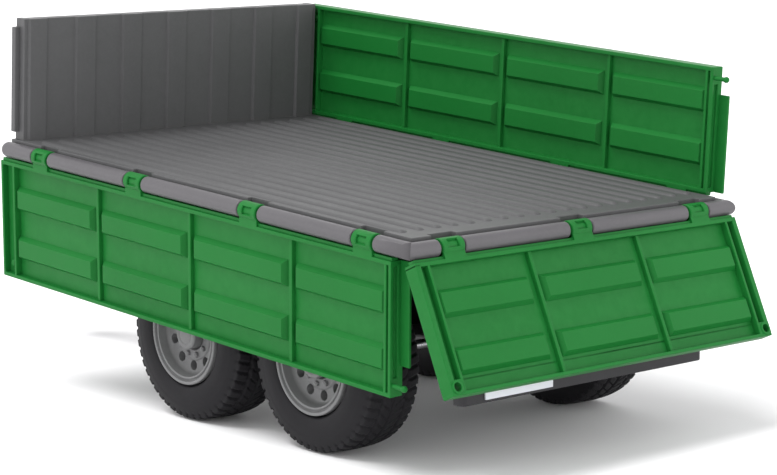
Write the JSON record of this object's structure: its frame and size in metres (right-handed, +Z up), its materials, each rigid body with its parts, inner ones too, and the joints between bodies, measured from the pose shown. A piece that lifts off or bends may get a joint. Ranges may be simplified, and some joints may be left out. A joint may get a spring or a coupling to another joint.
{
  "type": "drop-side tipping farm trailer model",
  "caption": "Tandem-axle tipping trailer model: ribbed deck, fixed front wall, fold-down drop sides and tailgate, telescopic ram, drawbar with towing eye.",
  "frame": {"origin": "centre of the towing eye's bore", "axes": "+X forward, +Y to the trailer's left, +Z up along the towing eye's bore"},
  "size_m": [0.367, 0.1668, 0.15],
  "materials": {
    "green_plastic": "satin moulded",
    "grey_plastic": "satin moulded",
    "rail_plastic": "satin moulded",
    "black_plastic": "satin moulded",
    "steel": "drawn",
    "rim_plastic": "silver-grey moulded",
    "tyre": "matt",
    "white_plastic": "satin"
  },
  "bodies": {
    "chassis": {"left_chassis_rail": "black_plastic", "right_chassis_rail": "black_plastic", "chassis_crossmembers": "black_plastic", "ram_cradle": "black_plastic", "ram_base_pin": "steel", "tip_hinge_pins": "steel", "left_suspension": "black_plastic", "right_suspension": "black_plastic", "front_axle": "steel", "rear_axle": "steel", "axle_push_nuts": "steel", "drawbar": "black_plastic", "towing_eye": "steel", "eye_bolts": "steel", "bumper_arms": "black_plastic", "rear_bumper": "black_plastic", "number_plate": "white_plastic"},
    "bed": {"bed_deck": "grey_plastic", "left_rail": "rail_plastic", "right_rail": "rail_plastic", "rear_rail": "rail_plastic", "front_wall": "grey_plastic", "bed_sills": "black_plastic", "bed_bearers": "black_plastic", "ram_clevis": "black_plastic", "ram_top_pin": "steel"},
    "left_panel": {"left_side_panel": "green_plastic"},
    "right_panel": {"right_side_panel": "green_plastic"},
    "gate": {"tailgate": "green_plastic"},
    "barrel": {"ram_barrel": "black_plastic"},
    "stage_1": {"ram_stage_1": "steel"},
    "stage_2": {"ram_stage_2": "steel"},
    "rod": {"ram_rod": "steel"},
    "front_left_wheel": {"front_left_tyre": "tyre", "front_left_rim": "rim_plastic", "front_left_hub_cap": "rim_plastic", "front_left_wheel_nuts": "rim_plastic"},
    "front_right_wheel": {"front_right_tyre": "tyre", "front_right_rim": "rim_plastic", "front_right_hub_cap": "rim_plastic", "front_right_wheel_nuts": "rim_plastic"},
    "rear_left_wheel": {"rear_left_tyre": "tyre", "rear_left_rim": "rim_plastic", "rear_left_hub_cap": "rim_plastic", "rear_left_wheel_nuts": "rim_plastic"},
    "rear_right_wheel": {"rear_right_tyre": "tyre", "rear_right_rim": "rim_plastic", "rear_right_hub_cap": "rim_plastic", "rear_right_wheel_nuts": "rim_plastic"}
  },
  "joints": [
    {"name": "bed_tip", "type": "hinge", "parent": "chassis", "child": "bed", "pos_m": [-0.33068, 0, 0.01619], "axis": [0, -1, 0], "range_deg": [-3.5, 29.5]},
    {"name": "left_panel_hinge", "type": "hinge", "parent": "bed", "child": "left_panel", "pos_m": [-0.21498, 0.08, 0.05733], "axis": [0.9981, 0, 0.061], "range_deg": [0, 182.3]},
    {"name": "right_panel_hinge", "type": "hinge", "parent": "bed", "child": "right_panel", "pos_m": [-0.21498, -0.08, 0.05733], "axis": [0.9981, 0, 0.061], "range_deg": [0, 182.3]},
    {"name": "tailgate_hinge", "type": "hinge", "parent": "bed", "child": "gate", "pos_m": [-0.33675, 0, 0.04988], "axis": [0, 1, 0], "range_deg": [0, 152.3]},
    {"name": "ram_tilt", "type": "hinge", "parent": "chassis", "child": "barrel", "pos_m": [-0.21672, 0, 0.00078], "axis": [0, -1, 0], "range_deg": [-1.8, 14.8]},
    {"name": "ram_slide_1", "type": "slide", "parent": "barrel", "child": "stage_1", "axis": [-0.0729, 0, 0.9973], "range_m": [-0.00226, 0.01872]},
    {"name": "ram_slide_2", "type": "slide", "parent": "stage_1", "child": "stage_2", "axis": [-0.0729, 0, 0.9973], "range_m": [-0.00226, 0.01872]},
    {"name": "ram_slide_3", "type": "slide", "parent": "stage_2", "child": "rod", "axis": [-0.0729, 0, 0.9973], "range_m": [-0.00226, 0.01872]},
    {"name": "front_left_wheel_spin", "type": "hinge", "parent": "chassis", "child": "front_left_wheel", "pos_m": [-0.1998, 0.0606, 0.0017], "axis": [0, 1, 0], "continuous": true},
    {"name": "front_right_wheel_spin", "type": "hinge", "parent": "chassis", "child": "front_right_wheel", "pos_m": [-0.1998, -0.0606, 0.0017], "axis": [0, 1, 0], "continuous": true},
    {"name": "rear_left_wheel_spin", "type": "hinge", "parent": "chassis", "child": "rear_left_wheel", "pos_m": [-0.2748, 0.0606, 0.0017], "axis": [0, 1, 0], "continuous": true},
    {"name": "rear_right_wheel_spin", "type": "hinge", "parent": "chassis", "child": "rear_right_wheel", "pos_m": [-0.2748, -0.0606, 0.0017], "axis": [0, 1, 0], "continuous": true}
  ],
  "couplings": [
    {"joint": "ram_tilt", "follows": "bed_tip", "ratio": 0.5},
    {"joint": "ram_slide_1", "follows": "bed_tip", "m_per_rad": 0.036253},
    {"joint": "ram_slide_2", "follows": "bed_tip", "m_per_rad": 0.036253},
    {"joint": "ram_slide_3", "follows": "bed_tip", "m_per_rad": 0.036253}
  ]
}
